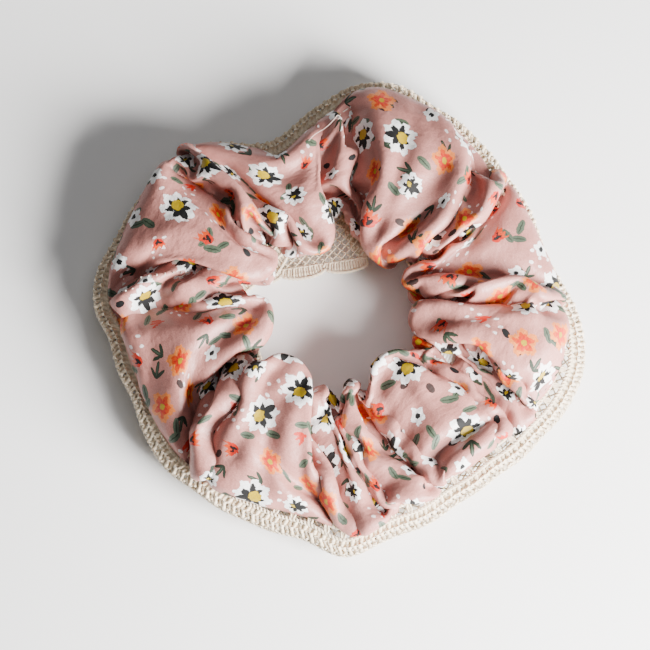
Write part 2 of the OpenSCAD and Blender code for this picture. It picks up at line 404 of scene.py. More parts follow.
def creased(co):
    """The cover with soft creases that fan out over each panel from its tip at the opening."""
    rng = np.random.default_rng(CREASE_SEED)
    q = np.arange(NV) / INNER_ROW
    out = (0.85 - q) / 0.7                 # 0 near the tip, 1 near the seam
    dent = np.zeros((NA, NV))
    for i in range(COUNT):
        middle, wide = (FOLD_AT[i] + FOLD_AT[i + 1]) / 2, FOLD_AT[i + 1] - FOLD_AT[i]
        d = wrapped(COLUMN_A - middle)
        for k in range(CREASES):
            fan = wide * (0.34 * (k - (CREASES - 1) / 2) + rng.uniform(-0.1, 0.1))
            start = rng.uniform(-2, 2)
            width = rng.uniform(2.2, 3.4)
            depth = rng.uniform(0.7, 1.5)
            ends = rng.uniform(0.12, 0.42)
            x = (d[:, None] - (start + fan * out)) / (width * (0.8 + 0.5 * np.clip(out, 0, 1)))
            along = ease(q, ends - 0.1, ends + 0.16) * (1 - ease(q, 0.78, 0.98))
            dent += depth * (x * x - 1) * np.exp(-x * x) * along
    return co + surface_normals(co) * (dent * ease(TO_FOLD, 3.5, 7.5)[:, None])[..., None]


# ---------------- mesh helpers
def new_piece(name, parts, material):
    """A mesh object from one or more (points in mm, faces, uvs for each face corner)."""
    verts, faces, uvs, base = [], [], [], 0
    for part_verts, part_faces, part_uvs in parts:
        verts.append(part_verts)
        faces.extend([[i + base for i in face] for face in part_faces])
        uvs.append(part_uvs)
        base += len(part_verts)
    piece = plain_object(name, (np.concatenate(verts) * MM).tolist(), faces)
    mesh = piece.data
    layer = mesh.uv_layers.new(name="mm")
    layer.data.foreach_set("uv", np.concatenate(uvs).ravel())
    mesh.polygons.foreach_set("use_smooth", [True] * len(mesh.polygons))
    mesh.materials.append(material)
    return piece


def unit(vectors):
    return vectors / (np.linalg.norm(vectors, axis=-1, keepdims=True) + TINY)


def tubes(paths, normals, radius, sides=5, closed=False):
    """Round tubes along paths (count x points x 3), with uvs of (length along in mm, share round)."""
    count, n, _ = paths.shape
    if closed:
        ahead, behind = np.roll(paths, -1, axis=1), np.roll(paths, 1, axis=1)
    else:
        ahead = np.concatenate([paths[:, 1:], 2 * paths[:, -1:] - paths[:, -2:-1]], axis=1)
        behind = np.concatenate([2 * paths[:, :1] - paths[:, 1:2], paths[:, :-1]], axis=1)
    along = unit(ahead - behind)
    side = unit(np.cross(along, normals))
    up = np.cross(side, along)
    radius = np.broadcast_to(np.asarray(radius, float), (count, n))[..., None]
    angles = [TAU * k / sides for k in range(sides)]
    rings = [paths + radius * (math.cos(a) * side + math.sin(a) * up) for a in angles]
    verts = np.stack(rings, axis=2).reshape(-1, 3)
    runs = np.cumsum(np.linalg.norm(np.diff(paths, axis=1), axis=2), axis=1)
    length = np.concatenate([np.zeros((count, 1)), runs], axis=1)
    spans = np.arange(n if closed else n - 1)
    c, i, k = np.meshgrid(np.arange(count), spans, np.arange(sides), indexing="ij")
    i2, k2 = (i + 1) % n, (k + 1) % sides

    def at(ring, corner):
        return (c * n + ring) * sides + corner

    faces = np.stack([at(i, k), at(i, k2), at(i2, k2), at(i2, k)], -1).reshape(-1, 4).tolist()
    u0 = length[c, i]
    u1 = u0 + np.linalg.norm(paths[c, i2] - paths[c, i], axis=-1)
    uvs = [corner_uvs((u0, u1), (k / sides, (k + 1) / sides), ((0, 0), (0, 1), (1, 1), (1, 0)))]
    if not closed:
        for tube in range(count):
            for end, order in ((0, range(sides)), (n - 1, range(sides - 1, -1, -1))):
                faces.append([(tube * n + end) * sides + corner for corner in order])
        uvs.append(np.zeros((count * 2 * sides, 2)))
    return verts, faces, np.concatenate(uvs)


def apply_modifiers(piece):
    done = piece.evaluated_get(bpy.context.evaluated_depsgraph_get())
    mesh = bpy.data.meshes.new_from_object(done)
    old = piece.data
    piece.modifiers.clear()
    piece.data = mesh
    mesh.name = piece.name
    bpy.data.meshes.remove(old)


def wobble(x, seed, octaves):
    """A smooth made-up wave of about -1 to 1, closed over 0..1 of x, from (waves, weight) pairs."""
    total = sum(w * np.sin(TAU * (round(f) * x + ((seed * 0.137 + f * 0.31) % 1))) for f, w in octaves)
    return total / sum(w for _, w in octaves)


# ---------------- the cover as a piece
ALLOWANCE_ROWS = (0.8, 3.4, ALLOWANCE)     # distances of an allowance's rows from the seam
ALLOWANCE_Z = 0.4                          # height of an allowance above or below the seam


def make_cover(co, material):
    """The tube and its two seam allowances, one piece of thick cloth."""
    i, j, _, _, quads = grid_quads(NA, NV)
    da, dv = STRIP_L / NA, STRIP_W / NV
    uvs = corner_uvs((i * da, (i + 1) * da), (j * dv, (j + 1) * dv))
    parts = [(co.reshape(-1, 3), quads.tolist(), uvs)]
    edge = co[:, 0]
    inward = -outwards(edge)
    count = len(ALLOWANCE_ROWS)
    m, r, _, _, quads = grid_quads(NA, count, wrap_columns=False)
    uvs = corner_uvs((m * da, (m + 1) * da), (-r * 3.0, -(r + 1) * 3.0))
    for level in (-ALLOWANCE_Z, ALLOWANCE_Z):
        rows = []
        for reach in ALLOWANCE_ROWS:
            row = edge.copy()
            row[:, :2] += inward * reach
            row[:, 2] += level
            rows.append(row)
        strip = np.stack(rows, axis=1)
        parts.append((strip.reshape(-1, 3), quads.tolist(), uvs))
    piece = new_piece("satin_cover", parts, material)
    sub = piece.modifiers.new("finer", "SUBSURF")
    sub.levels = sub.render_levels = 1
    thick = piece.modifiers.new("cloth_thickness", "SOLIDIFY")
    thick.thickness, thick.offset = CLOTH_T * MM, -1
    apply_modifiers(piece)
    return piece


# ---------------- the lace as a surface
# s runs along the strip, t across it: t = 0 is the fold line at the outer edge of the ring, t < 0 the
# heading that goes into the seam, t > 0 goes down and back under the ring to the free edge.
HEAD_T, FREE_T = -7.5, 42.0
FLAPS, FIRST_FLAP = 9, 97.0                # pleated flaps underneath, and the angle of the first one
FLAP_STEP = 360 / FLAPS
FLAP_END = [12.0, 20.5, 21.5, 20.5, 21.0, 21.5, 20.5, 24.0, 21.5]    # radius of each free edge
FIRST_FLAP_SHIFT = -3.6                    # the first flap's, sideways at its free edge
# the turned edge's section: t, distance out from the outline, height
TURN = [(-7.5, -7.5, 9.4), (-5.5, -5.5, 9.3), (-3, -3, 8.9), (-1, -1, 8.2), (0, -0.05, 7.5), (1.2, 0.25, 6.4),
        (3, -0.1, 4.6), (5.5, -1.8, 2.6), (8.5, -4.5, 1.5), (12, -8, 1.1)]
UNDER_T = 8.5                              # from here on the lace lies under the ring
FLAP_LOW, FLAP_RISE, FLAP_SPREAD = 0.5, 1.3, 1.7       # heights of the pleats' layers
BEND, BEND_WAVES = 1.1, ((5, 1), (9, 0.8), (14, 0.6), (23, 0.4))
EDGE_WANDER, EDGE_WAVES = 0.5, ((8, 1), (15, 0.9), (26, 0.6))
RIPPLE, RIPPLE_WAVES = 0.22, ((9, 1), (16, 1), (31, 0.7))
GRID = 0.5                                 # spacing of the surface's points
SPARE = 3                                  # the surface runs on this far past the free edge


def lace_layout():
    """Angles down from the first flap's left edge, and the length of the outer edge up to each."""
    deg = FIRST_FLAP + 180 / FLAPS - np.arange(0, 360.01, 0.25)
    xy = polar(lace_r(deg), deg)
    return deg, np.concatenate([[0], np.cumsum(np.hypot(*np.diff(xy, axis=0).T))])


LACE_DEG, LACE_RUN = lace_layout()
LACE_L = float(LACE_RUN[-1])
NS, NT = int(round(LACE_L / GRID)), int(round((FREE_T + SPARE - HEAD_T) / GRID)) + 1


def turned_edge(s, t):
    """The lace with its edge turned down, running straight in under the ring."""
    deg = np.interp(s, LACE_RUN, LACE_DEG)
    share = s / LACE_L
    bend = BEND * wobble(share, 3, BEND_WAVES)
    out_r = lace_r(deg) + EDGE_WANDER * wobble(share, 7, EDGE_WAVES)
    turn_t, turn_r, turn_z = zip(*TURN)
    off = np.interp(t, turn_t, turn_r)
    off = np.where(t > turn_t[-1], turn_r[-1] - (t - turn_t[-1]), off)
    drop = ease(t, HEAD_T, 0) * (1 - ease(t, 4, 9))
    edge = np.zeros((NS, NT, 3))
    edge[..., :2] = polar(out_r[:, None] + off, np.broadcast_to(deg[:, None], (NS, NT)))
    edge[..., 2] = np.interp(t, turn_t, turn_z) + bend[:, None] * drop
    return edge


def pleated_flaps(s, t):
    """The lace under the ring: straight flaps, and between two flaps the cloth folded back."""
    centre = FIRST_FLAP - FLAP_STEP * np.arange(FLAPS)
    cuts = np.append(np.interp(-(centre + 180 / FLAPS), -LACE_DEG, LACE_RUN), LACE_L)
    length = np.diff(cuts)
    mean_r = np.array([lace_r(c + np.arange(-14, 14.1, 2)).mean() for c in centre])

    def width(k):
        """Flap k's forward width and the distance of its row from the centre, for every t."""
        start = mean_r[k] - 4.5
        y = start - np.clip(t - UNDER_T, -8, None) * (start - FLAP_END[k]) / (FREE_T - UNDER_T)
        w = (length[k] + TAU * y / FLAPS) / 2
        return np.minimum(w, length[k] - 0.2), y

    def place(k, x, height):
        _, y = width(k)
        if k == 0:
            x = x + FIRST_FLAP_SHIFT * ease(t, 8, FREE_T)
        a = math.radians(centre[k])
        return np.stack([y * math.cos(a) + x * math.sin(a), y * math.sin(a) - x * math.cos(a), height], -1)

    rise = FLAP_RISE + FLAP_SPREAD * ease(t, 10, 40)
    low, high = np.full(NT, FLAP_LOW), FLAP_LOW + rise
    flap = np.zeros((NS, NT, 3))
    for m in range(NS):
        k = min(int(np.searchsorted(cuts, s[m], side="right") - 1), FLAPS - 1)
        after, before = (k + 1) % FLAPS, (k - 1) % FLAPS
        w, w_after, w_before = width(k)[0], width(after)[0], width(before)[0]
        u = np.full(NT, s[m] - (cuts[k] + cuts[k + 1]) / 2)
        forward = place(k, u, low + rise * (u / w + 0.5))
        gap_after = (length[k] - w + length[after] - w_after) / 2
        gap_before = (length[k] - w + length[before] - w_before) / 2
        part = ((u - w / 2) / gap_after)[:, None]
        back_after = place(k, w / 2, high) * (1 - part) + place(after, -w_after / 2, low) * part
        part = (1 - (-w / 2 - u) / gap_before)[:, None]
        back_before = place(before, w_before / 2, high) * (1 - part) + place(k, -w / 2, low) * part
        flap[m] = np.where((u > w / 2)[:, None], back_after,
                           np.where((u < -w / 2)[:, None], back_before, forward))
    return flap


def lace_surface():
    """Points of the lace on a grid of s and t, and their normals."""
    s = np.arange(NS) * LACE_L / NS
    t = HEAD_T + np.arange(NT) * GRID
    b = ease(t, 6, 15)[None, :, None]
    grid = turned_edge(s, t) * (1 - b) + pleated_flaps(s, t) * b
    ripple = RIPPLE * wobble(s / LACE_L, 11, RIPPLE_WAVES)[:, None] * ease(t, 14, 30)
    grid[..., 2] += np.abs(ripple)
    ds = np.roll(grid, -1, axis=0) - np.roll(grid, 1, axis=0)
    return grid, unit(np.cross(np.gradient(grid, axis=1), ds))


def lace_point(s, t, h=0.0):
    """Point of the lace at (s, t), h mm above its outer face, and the normal there."""
    s, t, h = np.broadcast_arrays(np.asarray(s, float), np.asarray(t, float), np.asarray(h, float))
    x = np.mod(s, LACE_L) / LACE_L * NS
    y = np.clip((t - HEAD_T) / GRID, 0, NT - 1.001)
    i, j = np.floor(x).astype(int), np.floor(y).astype(int)
    fx, fy = (x - i)[..., None], (y - j)[..., None]
    i, i2 = i % NS, (i + 1) % NS

    def sampled(grid):
        near = grid[i, j] * (1 - fx) + grid[i2, j] * fx
        far = grid[i, j + 1] * (1 - fx) + grid[i2, j + 1] * fx
        return near * (1 - fy) + far * fy

    normal = unit(sampled(LACE_N))
    return sampled(LACE_P) + normal * h[..., None], normal


def threads(s, t, h, radius, sides=5, closed=False):
    """Tubes along lines given in the lace's own coordinates (each count x points)."""
    p, n = lace_point(s, t, h)
    return tubes(p, n, radius, sides, closed)


def fitted(pitch):
    """How many repeats of about this pitch go into the strip."""
    return int(round(LACE_L / pitch))


# ---------------- the lace, thread by thread
# rows of chain stitches in the heading: t, radius, height over the surface
HEADING_CHAINS = ((-6.4, 0.42, 0.0), (-5.7, 0.36, 0.1), (-3.3, 0.36, 0.0))
HEADING_PITCH, LADDER_PITCH = 1.9, 4.5
RUNG_T = (-5.8, -3.2)
RUNG_GAP, RUNG_R = 0.42, 0.27
# the braid's two rows of fat stitches: t of their ends, lean along the strip, height
BRAID_ROWS = ((-3.35, -1.45, 0.55, 0.25), (-1.85, 0.25, -0.6, 0.1))
BRAID_PITCH, BRAID_SEED = 1.22, 5
BRAID_CHAIN = (-1.65, 0.36, 0.62)          # t, radius, height
BRAID_CHAIN_PITCH = 1.55
PICOT_ARC = (-0.2 * math.pi, 1.2 * math.pi)
NET_S, NET_T = 2.15, 0.95                  # a mesh's length along the strip and half its width
NET_START, NET_END = 0.2, 40.4
SCALLOP_PITCH, SCALLOP_DEPTH = 10.6, 1.6
SHELL_STITCHES = 17                        # in each scallop


def chain_row(t, radius, lift, pitch):
    """A row of chain stitches right along the strip: two strands that cross once in every stitch."""
    n = fitted(0.25)
    s = np.arange(n) * LACE_L / n
    phase = TAU * fitted(pitch) * s / LACE_L
    rows = []
    for turn in (0, math.pi):
        side = radius * 0.8 * np.sin(phase + turn)
        height = lift + 0.4 * radius * np.cos(phase + turn)
        thickness = radius * (0.78 + 0.22 * np.cos(2 * phase))
        rows.append(threads(s[None], (t + side)[None], height[None], thickness[None], 6, closed=True))
    return rows


def lace_heading(material):
    """The ladder: chain rows, and rungs of three threads between them."""
    parts = []
    for t, radius, lift in HEADING_CHAINS:
        parts += chain_row(t, radius, lift, HEADING_PITCH)
    rungs = fitted(LADDER_PITCH)
    mid = np.arange(rungs) * LACE_L / rungs
    t = np.linspace(*RUNG_T, 7)
    bow = 1 + 0.35 * np.cos((t + 4.5) / 1.3 * math.pi)
    wave = 0.12 * np.sin(np.linspace(0, math.pi * 2, 7))
    for k in (-1, 0, 1):
        s = mid[:, None] + k * RUNG_GAP * bow + wave * (k == 0)
        parts.append(threads(s, t, 0.12 * (k == 0), RUNG_R, 6))
    return new_piece("lace_heading", parts, material)


def lace_braid(material):
    """The puffy band at the outer edge: fat slanting stitches side by side in two rows, with a chain
    between them and picots along the edge, all a little uneven."""
    rng = np.random.default_rng(BRAID_SEED)
    stitches = fitted(BRAID_PITCH)
    parts = []
    u = np.linspace(0, 1, 8)
    arch = np.sin(math.pi * u)
    for row, (t0, t1, lean, rise) in enumerate(BRAID_ROWS):
        mid = (np.arange(stitches) + 0.5 * row + rng.uniform(-0.1, 0.1, stitches)) * LACE_L / stitches
        reach = rng.uniform(-0.22, 0.22, stitches)
        fat = rng.uniform(0.88, 1.14, stitches)
        s = mid[:, None] + lean * (u - 0.5) + 0.12 * arch
        t = t0 + (t1 - t0 + reach[:, None] * row) * u
        every_other = np.cos(np.arange(stitches) * math.pi)[:, None]
        h = rise + 0.38 * arch + 0.16 * every_other
        radius = fat[:, None] * (0.5 + 0.1 * np.cos(TAU * u) * (1 if row else -1))
        parts.append(threads(s, t, h, radius, 7))
    parts += chain_row(*BRAID_CHAIN, BRAID_CHAIN_PITCH)
    picots = stitches // 2
    a = np.linspace(*PICOT_ARC, 9)
    mid = (np.arange(picots) + 0.25 + rng.uniform(-0.12, 0.12, picots)) * LACE_L / picots
    size = rng.uniform(0.55, 0.85, picots)[:, None]
    s = mid[:, None] + size * np.cos(a) * 1.05
    t = 0.05 + size * np.sin(a) * 0.8
    parts.append(threads(s, t, 0.1 + 0.2 * np.sin(a), 0.34, 6))
    return new_piece("lace_braid", parts, material)


def lace_net(material):
    """The net ground: zigzag threads that touch their neighbours at every turn, which makes diamonds."""
    meshes = fitted(NET_S)
    rows = int(round((NET_END - NET_START) / NET_T))
    k = np.arange(2 * rows + 1) / 2
    t = NET_START + k * (NET_END - NET_START) / rows
    swing = 2 * np.abs(k % 2 - 1) - 1                # 1, 0, -1, 0 down the net
    parts = []
    for side in (0, 1):
        base = (np.arange(meshes) + 0.5 * side) * LACE_L / meshes
        sway = (0.25 - 0.5 * side) * LACE_L / meshes * swing
        h = 0.1 * (1 - 2 * side) * swing
        parts.append(threads(base[:, None] + sway, t, h, 0.25 + 0.07 * np.abs(swing), 3))
    return new_piece("lace_net", parts, material)


def lace_scallops(material):
    """The free edge: shells of close radial stitches between two cords, scalloped every 10 mm."""
    shells = fitted(SCALLOP_PITCH)
    count = shells * SHELL_STITCHES
    s = np.arange(count) * LACE_L / count
    phase = np.mod(np.arange(count) / SHELL_STITCHES, 1)
    depth = SCALLOP_DEPTH * np.sqrt(np.clip(np.sin(math.pi * phase), 0, 1))
    u = np.linspace(0, 1, 5)
    fan = (phase - 0.5) * 0.9
    along = s[:, None] + fan[:, None] * u ** 1.2 * 1.2
    t = NET_END - 0.3 + (1.1 + depth)[:, None] * u
    every_other = np.cos(np.arange(count) * math.pi)[:, None]
    parts = [threads(along, t, 0.06 * every_other, 0.31 + 0.05 * np.sin(np.pi * u), 5)]
    n = fitted(0.3)
    s = np.arange(n) * LACE_L / n
    phase = np.mod(s / LACE_L * shells, 1)
    t = NET_END + 0.85 + SCALLOP_DEPTH * np.sqrt(np.clip(np.sin(math.pi * phase), 0, 1))
    outer_r, inner_r = 0.42 + 0.09 * np.cos(TAU * s / 0.95), 0.32 + 0.05 * np.cos(TAU * s / 1.25)
    parts.append(threads(s[None], t[None], 0.0, outer_r[None], 6, closed=True))
    parts.append(threads(s[None], NET_END - 0.2, 0.05, inner_r[None], 6, closed=True))
    return new_piece("lace_scallops", parts, material)


# ---------------- elastic and stitches
# inner radius, width, thickness, height of its underside
ELASTIC_R, ELASTIC_W, ELASTIC_T, ELASTIC_Z = 25.5, 6.0, 1.2, 7.4
ELASTIC_MID_R = ELASTIC_R + ELASTIC_W / 2
RIBS = 8
JOIN_DEG, LAP_L = 180.0, 14.0
LAP_GAP, LAP_INSET = 0.03, 0.3             # the upper end of the elastic lies this much higher and narrower
THREAD_R = 0.14


def elastic_strip(start, end, lift, inset, n, closed):
    """A stretch of flat elastic between two angles, with ribs running along it."""
    w = np.linspace(0, 1, RIBS * 4 + 1)
    bulge = 0.16 * (np.abs(np.sin(math.pi * RIBS * w)) - 1)
    half = ELASTIC_T / 2
    section = np.concatenate([np.stack([w * ELASTIC_W, half + bulge], -1),
                              np.stack([(1 - w) * ELASTIC_W, -half - bulge[::-1]], -1)])
    m = len(section)
    deg = np.linspace(start, end, n, endpoint=not closed)
    radial = ELASTIC_R + inset + section[:, 0] * (1 - 2 * inset / ELASTIC_W)
    r = np.broadcast_to(radial, (n, m))
    flat = polar(r, np.broadcast_to(deg[:, None], r.shape))
    verts = np.dstack([flat, np.broadcast_to(ELASTIC_Z + half + lift + section[:, 1], r.shape)])
    i, j, _, j2, quads = grid_quads(n, m, wrap_rows=closed)
    run = np.radians((end - start) / n) * ELASTIC_R
    faces = quads.tolist()
    uvs = [corner_uvs((i * run, (i + 1) * run), (section[j, 0], section[j2, 0]))]
    if not closed:
        faces += [list(range(m - 1, -1, -1)), [(n - 1) * m + k for k in range(m)]]
        uvs.append(np.zeros((2 * m, 2)))
    return verts.reshape(-1, 3), faces, np.concatenate(uvs)


def elastic_loop(material):
    """A flat braided elastic, lapped at the join."""
    lap = math.degrees(LAP_L / ELASTIC_MID_R)
    parts = [elastic_strip(0, 360, 0, 0, 240, True),
             elastic_strip(JOIN_DEG - lap / 2, JOIN_DEG + lap / 2, ELASTIC_T + LAP_GAP, LAP_INSET, 20, False)]
    return new_piece("elastic_loop", parts, material)


def stitch_row(ends, lift, radius):
    """Short arched threads between pairs of points (count x 2 x 3), lifted by vectors (count x 3)."""
    u = np.linspace(0, 1, 7)
    path = ends[:, :1] * (1 - u)[:, None] + ends[:, 1:] * u[:, None]
    path = path + lift[:, None, :] * np.sin(math.pi * u)[:, None]
    return tubes(path, np.broadcast_to(unit(lift)[:, None, :], path.shape), radius, 6)


def elastic_stitching(material):
    """Two zigzag rows across the lap."""
    parts = []
    turns = 9
    k = np.arange(turns)
    r = ELASTIC_R + 0.6 + (ELASTIC_W - 1.2) * k / (turns - 1)
    top = np.full((turns, 1), ELASTIC_Z + 2 * ELASTIC_T + 0.05)
    for row in (-1, 1):
        middle = JOIN_DEG + row * math.degrees(0.3 * LAP_L / ELASTIC_MID_R)
        deg = middle + np.where(k % 2 == 0, -1, 1) * math.degrees(0.9 / ELASTIC_MID_R)
        p = np.concatenate([polar(r, deg), top], axis=1)
        lift = np.tile([0, 0, 0.22], (turns - 1, 1))
        parts.append(stitch_row(np.stack([p[:-1], p[1:]], axis=1), lift, THREAD_R))
    return new_piece("elastic_stitching", parts, material)


def seam_stitching(co, material):
    """The lengthwise seam, through both allowances and the heading of the lace."""
    line = co[:, 0].copy()
    line[:, :2] -= outwards(co[:, 0]) * 3.6
    after = np.roll(line, -1, axis=0)
    parts = []
    for side in (-1, 1):
        at = np.array([0, 0, 0.62 * side])
        ends = np.stack([line * 0.86 + after * 0.14 + at, line * 0.14 + after * 0.86 + at], axis=1)
        parts.append(stitch_row(ends, np.tile([0, 0, 0.12 * side], (NA, 1)), THREAD_R))
    return new_piece("seam_stitching", parts, material)


def closing_stitching(co, material):
    """The small overcast stitches where one end of the tube is tucked into the other."""
    n = surface_normals(co)
    rows = np.arange(2, NV - 1)
    proud = 0.16
    a = co[1, rows] + n[1, rows] * proud
    b = co[NA - 1, rows] * 0.6 + co[0, rows] * 0.4 + n[0, rows] * proud
    keep = np.linalg.norm(a - b, axis=1) < 4.5
    parts = [stitch_row(np.stack([a, b], axis=1)[keep], n[0, rows][keep] * 0.2, 0.15)]
    return new_piece("closing_stitching", parts, material)


def lace_joining(material):
    """Where the two ends of the lace lap, at s = 0: a row of small stitches across the strip."""
    t = np.arange(3.0, NET_END, 1.6)
    a, n = lace_point(-0.9, t, 0.3)
    b, _ = lace_point(0.9, t + 0.5, 0.3)
    parts = [stitch_row(np.stack([a, b], axis=1), n * 0.2, 0.15)]
    return new_piece("lace_joining", parts, material)


# the loose end of thread, seen from above
THREAD_END = [(-7.2, 39.8), (-6.2, 41.1), (-4.9, 42.3), (-3.5, 43.3), (-2.2, 44.2), (-1.1, 45.2),
              (-0.4, 46.3), (0.3, 45.7), (-0.2, 45.0), (-0.9, 45.5)]


def thread_end(co, material):
    """A loose end of thread that lies over the seam at the upper left, with a small curl at its end."""
    pts = np.array(THREAD_END)
    u = np.linspace(0, len(pts) - 1, 60)
    path = np.stack([np.interp(u, np.arange(len(pts)), pts[:, c]) for c in range(2)], -1)
    top = co.reshape(-1, 3)
    height = []
    for p in path:
        near = np.hypot(top[:, 0] - p[0], top[:, 1] - p[1]) < 1.8
        height.append(max(top[near, 2].max() if near.any() else 0, SEAM_Z) + 0.25)
    path = np.concatenate([path, np.array(height)[:, None]], axis=1)
    for _ in range(8):
        path[1:-1] = 0.5 * path[1:-1] + 0.25 * (path[:-2] + path[2:])
    up = np.broadcast_to([0.0, 0, 1], path[None].shape)
    return new_piece("thread_end", [tubes(path[None], up, 0.08, 6)], material)


# ---------------- node arithmetic
class Val:
    """A number in a node tree, so that shader arithmetic can be written as arithmetic."""

    def __init__(self, mat, socket):
        self.mat, self.socket = mat, socket

    def math(self, operation, *others):
        inputs = dict(enumerate((self, *others)))
        return Val(self.mat, self.mat.node("Math", inputs, operation=operation))

    def __rsub__(self, other):
        return self * -1 + other


def operation(name):
    """A method of Val that adds the Math node of this name."""
    return lambda self, *others: self.math(name, *others)


for method, name in {"__add__": "ADD", "__radd__": "ADD", "__sub__": "SUBTRACT", "__mul__": "MULTIPLY",
                     "__truediv__": "DIVIDE", "__mod__": "MODULO", "floor": "FLOOR", "fract": "FRACT",
                     "abs": "ABSOLUTE", "sin": "SINE", "cos": "COSINE", "sqrt": "SQRT", "power": "POWER",
                     "less": "LESS_THAN", "more": "GREATER_THAN", "high": "MAXIMUM",
                     "angle_from": "ARCTAN2"}.items():
    setattr(Val, method, operation(name))

MIX_MASK, MIX_UNDER, MIX_OVER, MIX_RESULT = 0, 6, 7, 2     # a Mix node's sockets for colours


class Material:
    """A material under construction: its methods add nodes."""

    def __init__(self, name):
        self.done = bpy.data.materials.new(name)
        self.done.use_nodes = True
        self.nodes, self.links = self.done.node_tree.nodes, self.done.node_tree.links

    def fill(self, node, inputs):
        """Links or sets a node's inputs, by name or number."""
        for key, value in inputs.items():
            if isinstance(value, Val):
                value = value.socket
            if isinstance(value, bpy.types.NodeSocket):
                self.links.new(value, node.inputs[key])
            else:
                node.inputs[key].default_value = value

    def node(self, kind, inputs, output=0, **settings):
        node = self.nodes.new("ShaderNode" + kind)
        for key, value in settings.items():
            setattr(node, key, value)
        self.fill(node, inputs)
        return node.outputs[output]

    def surface(self, **inputs):
        """Sets the shader's inputs; an underscore in a name stands for a space."""
        named = {key.replace("_", " "): value for key, value in inputs.items()}
        self.fill(self.nodes["Principled BSDF"], named)

    def parts(self, kind, socket):
        """The three numbers in a vector or a colour."""
        outputs = self.node(kind, {0: socket}).node.outputs
        return [Val(self, outputs[k]) for k in range(3)]

    def uv(self):
        return self.parts("SeparateXYZ", self.node("UVMap", {}, uv_map="mm"))[:2]

    def vector(self, x, y, z=0.0):
        return self.node("CombineXYZ", {0: x, 1: y, 2: z})

    def noise(self, at, scale, detail=2.0, roughness=0.5):
        inputs = {"Vector": at, "Scale": scale, "Detail": detail, "Roughness": roughness}
        return Val(self, self.node("TexNoise", inputs))

    def randoms(self, x, y, seed):
        """Three random numbers for each pair of whole numbers."""
        inputs = {"Vector": self.vector(x, y, seed)}
        noise = self.node("TexWhiteNoise", inputs, "Color", noise_dimensions="3D")
        return self.parts("SeparateColor", noise)

    def paint(self, under, *layers):
        """A colour, with (mask, colour) layers over it in turn."""
        for mask, colour in layers:
            pair = [(*c, 1) if isinstance(c, tuple) else c for c in (under, colour)]
            inputs = {MIX_MASK: mask, MIX_UNDER: pair[0], MIX_OVER: pair[1]}
            under = self.node("Mix", inputs, MIX_RESULT, data_type="RGBA")
        return under

    def bump(self, height, distance, **under):
        return self.node("Bump", {"Distance": distance, "Strength": 1.0, "Height": height, **under})


# ---------------- the print
INK = (0.0015, 0.0013, 0.0017)
WHITE = (0.78, 0.765, 0.76)
BLUSH_WHITE = (0.74, 0.66, 0.65)
YELLOW = (0.37, 0.25, 0.0)
PEACH = (0.62, 0.175, 0.038)
ORANGE = (0.52, 0.050, 0.005)
CORAL = (0.46, 0.016, 0.005)
SAGE = (0.045, 0.064, 0.040)
PALE_SAGE = (0.075, 0.100, 0.064)
MOSS = (0.014, 0.024, 0.012)
UMBER = (0.030, 0.014, 0.012)
# two layers of fillers: cell width and height, seed, shift
FILLERS = ((10.4, 8.8, 3.0, 5.2, 4.4), (11.6, 9.8, 41.0, 2.1, 1.3))
FLOWER_CELL, FLOWER_SEED = (11.4, 10.0), 7.0
# ellipses: middle, half length and width in mm, turn
LEAVES = ((-1.4, 0.6, 2.1, 0.95, 0.5), (1.5, 0.2, 2.0, 0.85, -0.35))
VEINS = ((-1.4, 0.6, 1.7, 0.16, 0.5), (1.5, 0.2, 1.6, 0.16, -0.35))
SPRIG = ((0, 1.2, 0.5, 1.9, 0.0), (-1.0, 0.2, 0.45, 1.6, 0.75), (1.0, 0.2, 0.45, 1.6, -0.75))
STEM = (0, 1.2, 0.2, 1.5, 0.0)
OVAL = (0, 0, 1.35, 0.85)
DOTS = ((-1.6, 1.2, 0.62, 0.42, 0.4), (1.4, 1.0, 0.6, 0.42, -0.2),
        (0.1, -1.4, 0.66, 0.42, 0.1), (0.2, 2.9, 0.55, 0.36, 0.6))
TULIP_MARKS = ((-0.15, -0.55, 0.42, 1.15, 0.35), (0.45, -0.2, 0.28, 0.8, -0.6))
STROKES = ((-0.9, 0.2, 0.45, 1.5, 0.35), (0, -0.1, 0.45, 1.9, 0.1), (0.9, 0.3, 0.42, 1.4, -0.4))
# what a cell holds, as the range of its first random number
LEAF_CELLS, SPRIG_CELLS, OVAL_CELLS, DOT_CELLS = (0.0, 0.38), (0.38, 0.56), (0.56, 0.70), (0.70, 0.88)
BIG_DAISY_UP_TO, DAISY_UP_TO = 0.20, 0.42
ORANGE_CELLS, TULIP_CELLS, SMALL_CELLS, STROKES_FROM = (0.42, 0.62), (0.62, 0.77), (0.77, 0.93), 0.93


def cells(mat, x, y, w, h, seed, room):
    """Brick-laid cells of w by h mm. For the cell under (x, y): the place within it from a middle that is
    moved by up to room mm and turned at random, and three random numbers."""
    row = (y / h).floor()
    shift = row % 2.0 * 0.5
    col = (x / w + shift).floor()
    r = mat.randoms(col, row, seed)
    q = mat.randoms(col, row, seed + 17.0)
    px = x - (col + 0.5 - shift) * w - (r[0] - 0.5) * (2 * room)
    py = y - (row + 0.5) * h - (r[1] - 0.5) * (2 * room)
    turn = r[2] * TAU
    c, s = turn.cos(), turn.sin()
    return px * c + py * s, py * c - px * s, q


def ellipse(x, y, cx, cy, rx, ry, turn=0.0):
    c, s = math.cos(turn), math.sin(turn)
    dx, dy = x - cx, y - cy
    u, v = (dx * c + dy * s) / rx, (dy * c - dx * s) / ry
    return (u * u + v * v).less(1.0)


def ellipses(x, y, shapes):
    total = ellipse(x, y, *shapes[0])
    for shape in shapes[1:]:
        total = total.high(ellipse(x, y, *shape))
    return total


